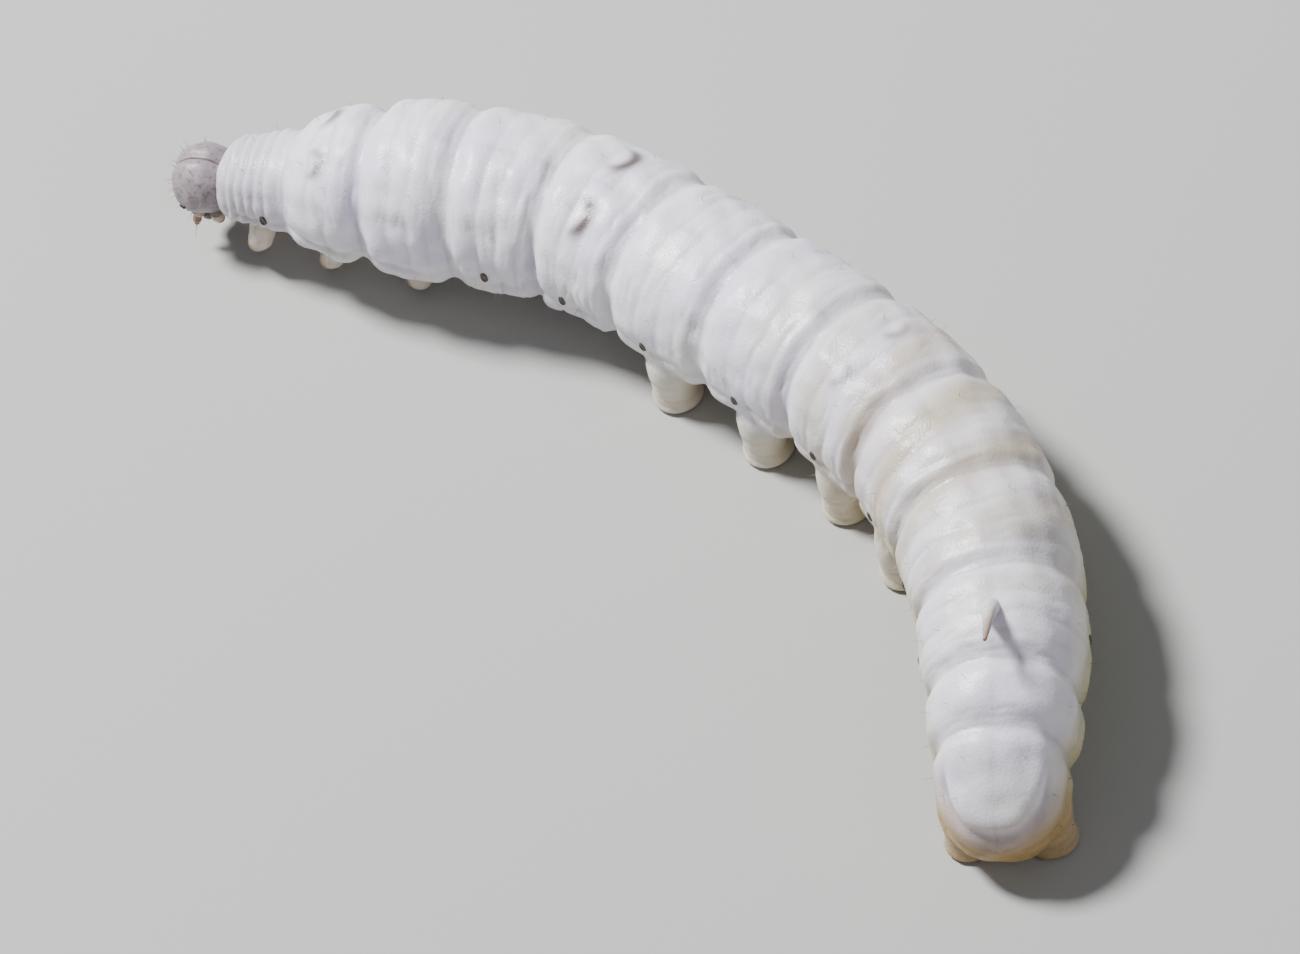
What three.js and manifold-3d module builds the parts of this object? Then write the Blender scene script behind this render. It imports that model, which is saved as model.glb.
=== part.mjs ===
// A full-grown white silkworm larva, life size and still, standing in a gentle curve on its prolegs.
// Millimetres, +Z up. The floor is z = 0. Seen from -Y the head is far left and the tail near right.
import * as THREE from "three";
import { mergeVertices } from "three/addons/utils/BufferGeometryUtils.js";
import Module from "manifold-3d";

const wasm = await Module();
wasm.setup();

// Driving dimensions
// Body segments from the neck to the tail: length along the back, half width at the flank line,
// rise of the back above that line, drop of the belly below it, and belly height above the floor.
const SEGMENTS = [
  { name: "thorax_1", length: 3.2, wide: 2.35, rise: 2.3, drop: 1.9, belly: 2.5 },
  { name: "thorax_2", length: 4.4, wide: 3.7, rise: 3.9, drop: 2.6, belly: 2.2 },
  { name: "thorax_3", length: 4.8, wide: 4.45, rise: 4.8, drop: 3.1, belly: 1.85 },
  { name: "abdomen_1", length: 5.2, wide: 4.5, rise: 4.4, drop: 3.4, belly: 1.65 },
  { name: "abdomen_2", length: 5.6, wide: 4.45, rise: 4.2, drop: 3.5, belly: 1.5 },
  { name: "abdomen_3", length: 6.0, wide: 4.5, rise: 4.2, drop: 3.6, belly: 1.45 },
  { name: "abdomen_4", length: 6.1, wide: 4.45, rise: 4.2, drop: 3.6, belly: 1.45 },
  { name: "abdomen_5", length: 6.1, wide: 4.45, rise: 4.2, drop: 3.6, belly: 1.45 },
  { name: "abdomen_6", length: 6.0, wide: 4.4, rise: 4.2, drop: 3.6, belly: 1.45 },
  { name: "abdomen_7", length: 5.7, wide: 4.35, rise: 4.15, drop: 3.5, belly: 1.55 },
  { name: "abdomen_8", length: 5.1, wide: 4.15, rise: 4.05, drop: 3.4, belly: 1.6 },
  { name: "abdomen_9", length: 3.2, wide: 3.75, rise: 3.5, drop: 3.1, belly: 1.45 },
  { name: "abdomen_10", length: 4.6, wide: 3.2, rise: 2.8, drop: 2.8, belly: 1.0 },
];
const GAP = 0.3; // between neighbouring parts
const FINEST = 0.012; // slivers smaller than this are merged away where two forms were cut together
const HEAD_LENGTH = 3.4; // from the front of the face to the neck
const FIRST_HEADING = -29; // degrees from +X, of the way from head to tail
const BENDS = [
  { from: 15, to: 28, turn: -25 }, // millimetres behind the face, degrees of turn
  { from: 33, to: 66, turn: -54 },
];
const FOLD_DEPTH = 0.42; // of the skin between two segments
const FOLD_REACH = 0.55;
const ANNULETS = [0.36, 0.58, 0.8]; // finer creases across one segment, as shares of its length
const ANNULET_DEPTH = 0.09;
const ANNULET_REACH = 0.26;
const LAST_CREASED = 10; // index of the last segment with creases; the first has none either
const COLLAR = 0.65; // reach of the neck skin over the back of the head
const COLLAR_ROUNDING = 0.9;
const TAIL_ROUNDING = 3.4; // length over which the tail closes
const TAIL_DIP = 1.1; // how far the tail's end hangs below the line of the body
const FLANK_RIDGE = 0.2; // swelling of the fleshy ridge along the flank
const PLATE = { long: 2.1, wide: 2.0, deep: 1.3, back: 1.9, sunk: 0.1 }; // of the anal plate
const AROUND = 24; // corners of one ring of skin
const PINCH = 9; // how much deeper the folds are inside the bend than outside it

// Helpers
const rad = THREE.MathUtils.degToRad;
const smooth = THREE.MathUtils.smoothstep;
const bell = (x) => Math.exp(-x * x);

function solidOf(geometry) {
  const bare = geometry.clone();
  bare.deleteAttribute("normal");
  bare.deleteAttribute("uv");
  const merged = mergeVertices(bare, 1e-4);
  return new wasm.Manifold(
    new wasm.Mesh({
      numProp: 3,
      vertProperties: merged.attributes.position.array,
      triVerts: new Uint32Array(merged.index.array),
    }),
  );
}

function geometryOf(solid) {
  const pieces = solid.simplify(FINEST).decompose();
  const mesh = pieces.reduce((a, b) => (a.volume() > b.volume() ? a : b)).getMesh();
  const geometry = new THREE.BufferGeometry();
  geometry.setAttribute("position", new THREE.BufferAttribute(mesh.vertProperties, 3));
  geometry.setIndex(new THREE.BufferAttribute(mesh.triVerts, 1));
  geometry.computeVertexNormals();
  return geometry;
}

// Rings of equal count, each counter-clockwise seen from ahead of the first ring's travel.
function loft(rings) {
  const count = rings[0].length;
  const points = rings.flat();
  const middle = (ring) => ring.reduce((sum, p) => sum.add(p), new THREE.Vector3()).divideScalar(count);
  points.push(middle(rings[0]), middle(rings[rings.length - 1]));
  const index = [];
  for (let j = 0; j + 1 < rings.length; j++)
    for (let i = 0; i < count; i++) {
      const a = j * count + i;
      const b = j * count + ((i + 1) % count);
      index.push(a, b, a + count, b, b + count, a + count);
    }
  const last = (rings.length - 1) * count;
  for (let i = 0; i < count; i++) {
    const next = (i + 1) % count;
    index.push(points.length - 2, next, i);
    index.push(points.length - 1, last + i, last + next);
  }
  const geometry = new THREE.BufferGeometry().setFromPoints(points);
  geometry.setIndex(index);
  return geometry;
}

// A round-bodied limb along a curve, its half width given along the way.
function limb(curve, steps, corners, halfWidth, flatten = 1) {
  const rings = [];
  const side = new THREE.Vector3();
  const across = new THREE.Vector3();
  for (let j = 0; j <= steps; j++) {
    const t = j / steps;
    const centre = curve.getPoint(t);
    const way = curve.getTangent(t);
    side.set(0, 0, 1).cross(way);
    if (side.length() < 0.2) side.set(1, 0, 0).cross(way);
    side.normalize();
    across.crossVectors(way, side).normalize();
    const r = halfWidth(t);
    rings.push(
      Array.from({ length: corners }, (_, i) => {
        const a = (2 * Math.PI * i) / corners;
        return centre
          .clone()
          .addScaledVector(side, r * Math.cos(a))
          .addScaledVector(across, r * flatten * Math.sin(a));
      }),
    );
  }
  return loft(rings);
}

// The line of the body
const starts = [];
let LENGTH = HEAD_LENGTH;
for (const part of SEGMENTS) {
  starts.push(LENGTH);
  LENGTH += part.length;
}

const heading = (s) => rad(BENDS.reduce((h, b) => h + b.turn * smooth(s, b.from, b.to), FIRST_HEADING));

const STEP = 0.25;
const spine = [new THREE.Vector2(0, 0)];
for (let s = 0; s < LENGTH + 2; s += STEP) {
  const h = heading(s + STEP / 2);
  const step = new THREE.Vector2(Math.cos(h), Math.sin(h)).multiplyScalar(STEP);
  spine.push(step.add(spine[spine.length - 1]));
}

function onSpine(s) {
  const k = THREE.MathUtils.clamp(s / STEP, 0, spine.length - 2);
  const i = Math.floor(k);
  return spine[i].clone().lerp(spine[i + 1], k - i);
}

// A size that runs smoothly through its value at the middle of every segment.
const knots = SEGMENTS.map((part, i) => starts[i] + part.length / 2);
function along(key, s) {
  let i = knots.findIndex((k) => k > s);
  if (i < 0) i = knots.length;
  const at = (n) => SEGMENTS[THREE.MathUtils.clamp(n, 0, knots.length - 1)][key];
  if (i === 0) return at(0) + ((at(1) - at(0)) * (s - knots[0])) / (knots[1] - knots[0]) / 2;
  if (i === knots.length) return at(i - 1);
  const t = (s - knots[i - 1]) / (knots[i] - knots[i - 1]);
  const [p0, p1, p2, p3] = [at(i - 2), at(i - 1), at(i), at(i + 1)];
  const curved = (2 * p0 - 5 * p1 + 4 * p2 - p3) * t ** 2 + (3 * p1 - p0 - 3 * p2 + p3) * t ** 3;
  return 0.5 * (2 * p1 + (p2 - p0) * t + curved);
}

// How far the skin is drawn in at a station: the deep folds, then the finer creases.
function drawnIn(s) {
  let depth = 0;
  SEGMENTS.forEach((part, i) => {
    if (i > 0) depth += FOLD_DEPTH * (i === 2 ? 1.5 : 1) * bell((s - starts[i]) / FOLD_REACH);
    if (i < 1 || i > LAST_CREASED) return;
    for (const share of ANNULETS) {
      const away = s - starts[i] - share * part.length;
      depth += ANNULET_DEPTH * bell(away / ANNULET_REACH);
    }
  });
  return depth;
}

// Height of the body's widest line above the floor.
const midline = (s) => along("belly", s) + along("drop", s) - TAIL_DIP * smooth(s, LENGTH - 5, LENGTH);

// One point of the skin. The angle runs from the left flank over the back; grow moves it outwards.
function skin(s, angle, grow = 0) {
  const atTail = Math.max(0, (s - LENGTH + TAIL_ROUNDING) / TAIL_ROUNDING);
  const atNeck = Math.max(0, (HEAD_LENGTH - COLLAR + COLLAR_ROUNDING - s) / COLLAR_ROUNDING);
  const closing = Math.sqrt(Math.max(0.0001, 1 - atTail ** 2 - 0.4 * atNeck ** 2));
  const [c, d] = [Math.cos(angle), Math.sin(angle)];
  const bend = (heading(s - 1) - heading(s + 1)) / 2;
  const inner = drawnIn(s) * (1 + PINCH * bend * c) * (0.8 + 0.2 * smooth(d, -0.7, 0));
  const ridge = FLANK_RIDGE * bell((d + 0.42) / 0.2);
  const wide = along("wide", s) * closing - inner + ridge + grow;
  const tall = along(d > 0 ? "rise" : "drop", s) * closing - inner + ridge + grow;
  const middle = midline(s);
  const h = heading(s);
  const at = onSpine(s);
  const side = wide * Math.sign(c) * Math.abs(c) ** 0.94;
  return new THREE.Vector3(
    at.x - Math.sin(h) * -side,
    at.y + Math.cos(h) * -side,
    middle + tall * Math.sign(d) * Math.abs(d) ** 0.94,
  );
}

function ring(s, grow = 0) {
  return Array.from({ length: AROUND }, (_, i) => skin(s, (-2 * Math.PI * i) / AROUND, grow));
}

function stretch(from, to, steps, grow = 0) {
  return loft(Array.from({ length: steps + 1 }, (_, j) => ring(from + ((to - from) * j) / steps, grow)));
}

// A place beside the spine: left is the animal's own left, seen from its tail.
function beside(s, left, z) {
  const h = heading(s);
  const at = onSpine(s);
  return new THREE.Vector3(at.x + Math.sin(h) * left, at.y - Math.cos(h) * left, z);
}

// How deep a point lies in the body near a station: 1 on the skin, less inside it.
function depth(point, near, grow) {
  let s = near;
  for (let n = 0; n < 3; n++) {
    const at = onSpine(s);
    const h = heading(s);
    s += (point.x - at.x) * Math.cos(h) + (point.y - at.y) * Math.sin(h);
  }
  const at = onSpine(s);
  const h = heading(s);
  const left = (point.x - at.x) * Math.sin(h) - (point.y - at.y) * Math.cos(h);
  const up = point.z - midline(s);
  const from = (p) => {
    const flat = (p.x - at.x) * Math.sin(h) - (p.y - at.y) * Math.cos(h);
    return [flat, p.z - midline(s)];
  };
  const wanted = Math.atan2(up, left);
  let angle = wanted;
  for (let n = 0; n < 8; n++) {
    const [l, u] = from(skin(s, angle, grow));
    const miss = wanted - Math.atan2(u, l);
    angle += Math.atan2(Math.sin(miss), Math.cos(miss));
  }
  return Math.hypot(left, up) / Math.hypot(...from(skin(s, angle, grow)));
}

// A limb that grows from the body: its root follows the skin, one gap away from it. The curve runs
// from inside the body to the tip. Level limbs have level rings, so that they end on a flat sole.
function grown(curve, steps, corners, halfWidth, near, level) {
  const place = (t, turn, share) => {
    const way = level ? new THREE.Vector3(0, 0, -1) : curve.getTangent(t);
    const h = heading(near);
    const side = new THREE.Vector3(Math.sin(h), -Math.cos(h), 0);
    if (!level) side.set(0, 0, 1).cross(way);
    if (side.length() < 0.2) side.set(Math.cos(h), Math.sin(h), 0);
    side.normalize();
    const across = new THREE.Vector3().crossVectors(way, side).normalize();
    const r = halfWidth(t) * share;
    return curve
      .getPoint(t)
      .addScaledVector(side, r * Math.cos(turn))
      .addScaledVector(across, r * Math.sin(turn));
  };
  const rootOf = (turn, share) => {
    let [inside, outside] = [0, 0.9];
    for (let n = 0; n < 18; n++) {
      const t = (inside + outside) / 2;
      if (depth(place(t, turn, share), near, GAP) < 1) inside = t;
      else outside = t;
    }
    return outside;
  };
  const turns = Array.from({ length: corners }, (_, i) => (2 * Math.PI * i) / corners);
  const cap = turns.map((turn) => place(rootOf(turn, 0.5), turn, 0.5));
  const roots = turns.map((turn) => rootOf(turn, 1));
  const rings = [cap];
  for (let j = 0; j <= steps; j++)
    rings.push(turns.map((turn, i) => place(roots[i] + ((1 - roots[i]) * j) / steps, turn, 1)));
  return loft(rings);
}

// The parts
const larva = new THREE.Group();
larva.name = "silkworm";

const skinWhite = new THREE.MeshStandardMaterial({ color: 0xe6e3e6, roughness: 0.55 });
const legCream = new THREE.MeshStandardMaterial({ color: 0xe9e2d2, roughness: 0.55 });
const headGrey = new THREE.MeshStandardMaterial({ color: 0xb6a79f, roughness: 0.4 });
const clawBrown = new THREE.MeshStandardMaterial({ color: 0x8a6a4e, roughness: 0.4 });
const eyeDark = new THREE.MeshStandardMaterial({ color: 0x1b1514, roughness: 0.15 });

function add(name, geometry, material) {
  const mesh = new THREE.Mesh(geometry, material);
  mesh.name = name;
  larva.add(mesh);
  return mesh;
}

// The head: a round capsule of two cheeks, hung face down at the neck. Its own axes: +X out of the
// face, +Y to the animal's left, +Z to the crown.
const HEAD = { long: 1.75, wide: 1.85, tall: 1.85, tilt: 26, height: 3.75 };
const head = new THREE.Group();
head.position.copy(beside(HEAD.long * 0.95, 0, HEAD.height));
head.rotation.set(0, rad(HEAD.tilt), heading(0) + Math.PI, "ZYX");
larva.add(head);
head.updateMatrixWorld(true);

function onCapsule(direction, grow = 0) {
  const p = direction.clone().normalize();
  const furrow = 1 - 0.09 * bell(p.y / 0.16) * smooth(p.z, 0.0, 0.6);
  const jaw = 1 - 0.26 * smooth(-p.z, 0, 1);
  const face = 1 - 0.1 * smooth(p.x, 0.55, 1);
  return new THREE.Vector3(
    p.x * (HEAD.long * furrow * face + grow),
    p.y * (HEAD.wide * jaw * furrow + grow),
    p.z * (HEAD.tall * furrow + grow),
  );
}
function capsule(grow) {
  const ball = new THREE.SphereGeometry(1, 24, 16);
  const at = ball.attributes.position;
  const p = new THREE.Vector3();
  for (let i = 0; i < at.count; i++) {
    p.copy(onCapsule(p.fromBufferAttribute(at, i), grow));
    at.setXYZ(i, p.x, p.y, p.z);
  }
  return solidOf(ball);
}
// A solid made in the head's own axes, moved to where the head stands.
const inPlace = (solid) => solid.transform(head.matrixWorld.toArray());

SEGMENTS.forEach((part, i) => {
  const from = i ? starts[i] + GAP / 2 : HEAD_LENGTH - COLLAR;
  const to = i === SEGMENTS.length - 1 ? LENGTH - 0.02 : starts[i] + part.length - GAP / 2;
  const steps = Math.max(6, Math.round(part.length * 2));
  if (i === 0) {
    const collar = solidOf(stretch(from, to, steps)).subtract(inPlace(capsule(GAP)));
    add(part.name, geometryOf(collar), skinWhite);
    return;
  }
  if (part.name !== "abdomen_10") {
    add(part.name, stretch(from, to, steps), skinWhite);
    return;
  }
  // The last segment carries the anal plate, a flap over its back that is cut free round its rim.
  const plate = (grow) => {
    const ball = new THREE.SphereGeometry(1, 24, 12);
    ball.scale(PLATE.long + grow, PLATE.wide + grow, PLATE.deep + grow);
    ball.rotateZ(heading(LENGTH));
    const top = skin(LENGTH - PLATE.back, Math.PI / 2).z;
    const centre = beside(LENGTH - PLATE.back, 0, top - PLATE.sunk);
    ball.translate(centre.x, centre.y, centre.z);
    return solidOf(ball);
  };
  const whole = solidOf(stretch(from, to, steps));
  add("abdomen_10", geometryOf(whole.subtract(plate(GAP))), skinWhite);
  add("anal_plate", geometryOf(solidOf(stretch(from, to, steps, 0.12)).intersect(plate(0))), skinWhite);
});

// Fleshy prolegs on abdomen 3 to 6, and the larger pair of claspers at the tail.
const PROLEG = { root: 1.55, waist: 1.15, foot: 1.25, rootSide: 2.7, footSide: 3.5 };
const CLASPER = { root: 1.5, waist: 1.25, foot: 1.3, rootSide: 1.5, footSide: 2.0 };
function proleg(name, s, back, side, size) {
  const curve = new THREE.CatmullRomCurve3([
    beside(s, side * size.rootSide, 3.8),
    beside(s + back * 0.6, side * size.footSide, 1.5),
    beside(s + back, side * size.footSide, 0),
  ]);
  const width = (t) =>
    THREE.MathUtils.lerp(size.root, size.waist, smooth(t, 0.1, 0.65)) +
    (size.foot - size.waist) * smooth(t, 0.65, 0.9) -
    0.2 * smooth(t, 0.93, 1);
  add(name, grown(curve, 8, 16, width, s, true), legCream);
}
for (const side of [1, -1]) {
  const hand = side > 0 ? "left" : "right";
  for (let n = 3; n <= 6; n++) {
    const i = n + 2;
    proleg("proleg_" + n + "_" + hand, starts[i] + SEGMENTS[i].length * 0.5, 0, side, PROLEG);
  }
  proleg("clasper_" + hand, LENGTH - 2.9, 0.2, side, CLASPER);
}

// Six jointed legs under the thorax, curved inwards to a claw.
// Half widths of a leg at the start of its four joints, and at the claw's tip.
const TRUE_LEG = [0.8, 0.56, 0.42, 0.26, 0.07];
const JOINTS = [0, 0.4, 0.62, 0.82, 1]; // as shares of its length
for (const side of [1, -1])
  for (let n = 1; n <= 3; n++) {
    const s = starts[n - 1] + SEGMENTS[n - 1].length * 0.5;
    const out = 1.0 + 0.35 * n;
    const belly = along("belly", s);
    const curve = new THREE.CatmullRomCurve3([
      beside(s + 0.2, side * (out - 0.2), belly + 1.6),
      beside(s - 0.3, side * (out + 0.5), belly - 0.5),
      beside(s - 0.8, side * (out + 0.2), belly * 0.45),
      beside(s - 1.2, side * (out - 0.35), 0.35),
    ]);
    const width = (t) => {
      const j = Math.min(3, JOINTS.findLastIndex((share) => share <= t));
      const share = (t - JOINTS[j]) / (JOINTS[j + 1] - JOINTS[j]);
      return THREE.MathUtils.lerp(TRUE_LEG[j], TRUE_LEG[j + 1], share);
    };
    add("leg_" + n + "_" + (side > 0 ? "left" : "right"), grown(curve, 12, 10, width, s, false), legCream);
  }

// The horn on the eighth abdominal segment.
const HORN = { length: 2.9, slant: 24, root: 0.8, tip: 0.1 };
{
  const s = starts[10] + SEGMENTS[10].length * 0.55;
  const top = skin(s, Math.PI / 2).z;
  const reach = HORN.length * Math.cos(rad(HORN.slant));
  const up = HORN.length * Math.sin(rad(HORN.slant));
  const curve = new THREE.CatmullRomCurve3([
    beside(s - 0.9, 0, top - 1.3),
    beside(s + 0.3, 0, top + 0.2),
    beside(s + 0.3 + reach, 0, top + 0.2 + up),
  ]);
  const width = (t) => THREE.MathUtils.lerp(HORN.root, HORN.tip, t ** 0.8);
  add("caudal_horn", grown(curve, 9, 12, width, s, false), headGrey);
}

// The small parts of the head.
const HEAD_GAP = 0.12;
function blob(centre, size, grow = 0, turn = new THREE.Euler()) {
  const ball = new THREE.SphereGeometry(1, 10, 7);
  ball.scale(size.x + grow, size.y + grow, size.z + grow);
  ball.applyMatrix4(new THREE.Matrix4().makeRotationFromEuler(turn));
  ball.translate(centre.x, centre.y, centre.z);
  return solidOf(ball);
}
function onHead(name, solid, material) {
  const mesh = new THREE.Mesh(geometryOf(solid), material);
  mesh.name = name;
  head.add(mesh);
}
const v3 = (x, y, z) => new THREE.Vector3(x, y, z);

// Six simple eyes on each cheek: five in an arc and one below it.
const STEMMA = 0.17;
function stemmata(side, grow) {
  const centre = v3(0.55, side * 0.86, -0.2);
  const places = Array.from({ length: 5 }, (_, i) => {
    const a = rad(-70 + 45 * i);
    return v3(0.15 * Math.cos(a), -side * 0.1 * Math.cos(a), 0.24 * Math.sin(a)).add(centre);
  });
  places.push(v3(centre.x - 0.04, centre.y, centre.z - 0.18));
  return places
    .map((p) => blob(onCapsule(p, 0.03), v3(STEMMA, STEMMA, STEMMA), grow))
    .reduce((a, b) => a.add(b));
}
// A small round feeler through three places, its half width given along the way.
function feeler(places, steps, halfWidth) {
  return solidOf(limb(new THREE.CatmullRomCurve3(places), steps, 8, halfWidth));
}
function labrum(grow) {
  return blob(v3(1.25, 0, -1.3), v3(0.5, 0.62, 0.34), grow, new THREE.Euler(0, 0.5, 0));
}
function mandible(side, grow) {
  const turn = new THREE.Euler(0, 0.5, -side * 0.35);
  return blob(v3(0.95, side * 0.5, -1.72), v3(0.52, 0.42, 0.4), grow, turn);
}
function labium(grow) {
  const tube = [v3(0.25, 0, -1.9), v3(0.42, 0, -2.25), v3(0.6, 0, -2.5)];
  const lip = blob(v3(0.2, 0, -1.9), v3(0.5, 0.42, 0.42), grow);
  return lip.add(feeler(tube, 4, (t) => 0.3 - 0.16 * t + grow));
}
function maxilla(side, grow) {
  const line = [v3(0.2, side * 0.85, -1.5), v3(0.42, side * 0.78, -2.0), v3(0.62, side * 0.6, -2.35)];
  return feeler(line, 4, (t) => 0.36 - 0.2 * t + grow);
}
function antenna(side, grow) {
  const line = [v3(0.9, side * 0.72, -1.0), v3(1.3, side * 0.98, -1.4), v3(1.6, side * 1.12, -1.8)];
  const width = (t) => {
    if (t < 0.35) return 0.32;
    if (t < 0.7) return 0.26;
    return 0.26 - 0.4 * (t - 0.7);
  };
  return feeler(line, 6, (t) => width(t) + grow);
}

onHead("head", capsule(0).subtract(stemmata(1, 0.06)).subtract(stemmata(-1, 0.06)), headGrey);
let taken = capsule(HEAD_GAP); // room that is no longer free, for the parts that follow
function fitted(name, make, material) {
  onHead(name, make(0).subtract(taken), material);
  taken = taken.add(make(HEAD_GAP));
}
fitted("labrum", labrum, clawBrown);
for (const side of [1, -1]) {
  fitted("mandible_" + (side > 0 ? "left" : "right"), (grow) => mandible(side, grow), clawBrown);
}
fitted("labium", labium, legCream);
for (const side of [1, -1]) {
  const hand = side > 0 ? "left" : "right";
  fitted("maxilla_" + hand, (grow) => maxilla(side, grow), legCream);
  fitted("antenna_" + hand, (grow) => antenna(side, grow), legCream);
  onHead("eye_" + hand, stemmata(side, 0), eyeDark);
}

// The origin is the middle of the whole animal, on the floor.
const box = new THREE.Box3().setFromObject(larva, true);
larva.position.set(-(box.min.x + box.max.x) / 2, -(box.min.y + box.max.y) / 2, -box.min.z);

export default larva;
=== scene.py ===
"""A full-grown white silkworm larva, life size, standing on its prolegs in a gentle curve.

The solids of the frame give the place and pose of every part. This script gives them their finished
surface: one continuous skin over the flesh, and separate horny pieces for the head, legs and horn.
Sizes are in millimetres until a mesh is made.
"""
import math

import bpy
import numpy as np
from mathutils import Matrix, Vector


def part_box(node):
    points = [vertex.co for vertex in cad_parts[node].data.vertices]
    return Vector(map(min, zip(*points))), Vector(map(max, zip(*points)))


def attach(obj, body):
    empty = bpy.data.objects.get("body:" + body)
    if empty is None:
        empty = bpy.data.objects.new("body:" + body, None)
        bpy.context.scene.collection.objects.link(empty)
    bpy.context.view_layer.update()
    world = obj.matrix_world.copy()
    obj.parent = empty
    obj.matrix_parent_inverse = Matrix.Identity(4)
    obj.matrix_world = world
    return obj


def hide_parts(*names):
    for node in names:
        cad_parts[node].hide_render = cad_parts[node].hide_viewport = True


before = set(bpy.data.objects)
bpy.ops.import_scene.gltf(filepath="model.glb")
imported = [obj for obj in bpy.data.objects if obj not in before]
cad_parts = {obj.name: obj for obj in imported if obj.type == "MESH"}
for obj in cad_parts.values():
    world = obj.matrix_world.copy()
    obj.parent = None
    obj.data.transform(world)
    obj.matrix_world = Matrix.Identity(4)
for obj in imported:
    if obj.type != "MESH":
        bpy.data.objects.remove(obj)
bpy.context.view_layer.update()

MM = 0.001
SIDES = ((1, "left"), (-1, "right"))

# Sizes that the solids have too
# Each segment: its length, half width, height over the widest line, depth under it, belly's height.
NAMES = ("length", "wide", "rise", "drop", "belly")
SEGMENTS = {
    "thorax_1": (3.2, 2.35, 2.3, 1.9, 2.5),
    "thorax_2": (4.4, 3.7, 3.9, 2.6, 2.2),
    "thorax_3": (4.8, 4.45, 4.8, 3.1, 1.85),
    "abdomen_1": (5.2, 4.5, 4.4, 3.4, 1.65),
    "abdomen_2": (5.6, 4.45, 4.2, 3.5, 1.5),
    "abdomen_3": (6.0, 4.5, 4.2, 3.6, 1.45),
    "abdomen_4": (6.1, 4.45, 4.2, 3.6, 1.45),
    "abdomen_5": (6.1, 4.45, 4.2, 3.6, 1.45),
    "abdomen_6": (6.0, 4.4, 4.2, 3.6, 1.45),
    "abdomen_7": (5.7, 4.35, 4.15, 3.5, 1.55),
    "abdomen_8": (5.1, 4.15, 4.05, 3.4, 1.6),
    "abdomen_9": (3.2, 3.75, 3.5, 3.1, 1.45),
    "abdomen_10": (4.6, 3.2, 2.8, 2.8, 1.0),
}
HEAD_LENGTH = 3.4
FIRST_HEADING = -29  # degrees from the X axis
BENDS = ((15, 28, -25), (33, 66, -54))  # where each bend begins and ends, and its degrees
FOLD_DEPTH = 0.42
FOLD_REACH = 0.55
SHOULDER_FOLD = 1.5  # how much deeper the fold behind thorax 2 is
COLLAR = 0.65
COLLAR_ROUNDING = 0.9
COLLAR_CLOSING = 0.4
TAIL_ROUNDING = 3.4
TAIL_DIP = 1.1
TAIL_DIP_LENGTH = 5
FLANK_RIDGE = 0.2
FLANK_RIDGE_AT = -0.42
FLANK_RIDGE_REACH = 0.2
PINCH = 9  # how much deeper the folds are inside a bend
SQUARENESS = 0.94

ORDER = list(SEGMENTS)
LENGTHS = np.array([SEGMENTS[n][0] for n in ORDER])
STARTS = HEAD_LENGTH + np.concatenate([[0], np.cumsum(LENGTHS)[:-1]])
LENGTH = HEAD_LENGTH + LENGTHS.sum()
KNOTS = STARTS + LENGTHS / 2


# Small functions
def smooth(x, low, high):
    t = np.clip((np.asarray(x, float) - low) / (high - low), 0, 1)
    return t * t * (3 - 2 * t)


def bell(x):
    return np.exp(-np.square(x))


def mix(a, b, t):
    return a + (b - a) * t


def about_z(a):
    return np.array([[math.cos(a), -math.sin(a), 0], [math.sin(a), math.cos(a), 0], [0, 0, 1]])


def about_y(a):
    return np.array([[math.cos(a), 0, math.sin(a)], [0, 1, 0], [-math.sin(a), 0, math.cos(a)]])


def through(points, count):
    """Evenly spread points on a centripetal spline through a few points, its ends included."""
    p = np.array(points, float)
    p = np.concatenate([[2 * p[0] - p[1]], p, [2 * p[-1] - p[-2]]])
    step = np.sqrt(np.linalg.norm(np.diff(p, axis=0), axis=1))
    k = np.concatenate([[0], np.cumsum(step)])
    out = []
    for u in np.linspace(0, len(points) - 1, count):
        i = min(int(u), len(points) - 2) + 1
        t = k[i] + (u - i + 1) * (k[i + 1] - k[i])
        a = [
            (p[j] * (k[j + 1] - t) + p[j + 1] * (t - k[j])) / (k[j + 1] - k[j]) for j in (i - 1, i, i + 1)
        ]
        b = [
            (a[j] * (k[i + j + 1] - t) + a[j + 1] * (t - k[i + j - 1])) / (k[i + j + 1] - k[i + j - 1])
            for j in (0, 1)
        ]
        out.append((b[0] * (k[i + 1] - t) + b[1] * (t - k[i])) / (k[i + 1] - k[i]))
    return np.array(out)


# The form of the body
def start(name):
    return STARTS[ORDER.index(name)]


def middle_of(name, share=0.5):
    return start(name) + SEGMENTS[name][0] * share


def heading(s):
    turned = sum(turn * smooth(s, low, high) for low, high, turn in BENDS)
    return np.radians(FIRST_HEADING + turned)


def bending(s):
    """How far the body turns in one millimetre, in radians."""
    return (heading(s - 1) - heading(s + 1)) / 2


SPINE_STEP = 0.05
SPINE_STATIONS = np.arange(0, LENGTH + 4, SPINE_STEP)
SPINE_HEADINGS = heading(SPINE_STATIONS + SPINE_STEP / 2)
SPINE_WAYS = np.stack([np.cos(SPINE_HEADINGS), np.sin(SPINE_HEADINGS)], 1)
SPINE = np.concatenate([[[0, 0]], np.cumsum(SPINE_WAYS * SPINE_STEP, 0)])[:-1]


def on_spine(s):
    return np.stack([np.interp(s, SPINE_STATIONS, SPINE[:, k]) for k in (0, 1)], -1)


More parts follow.
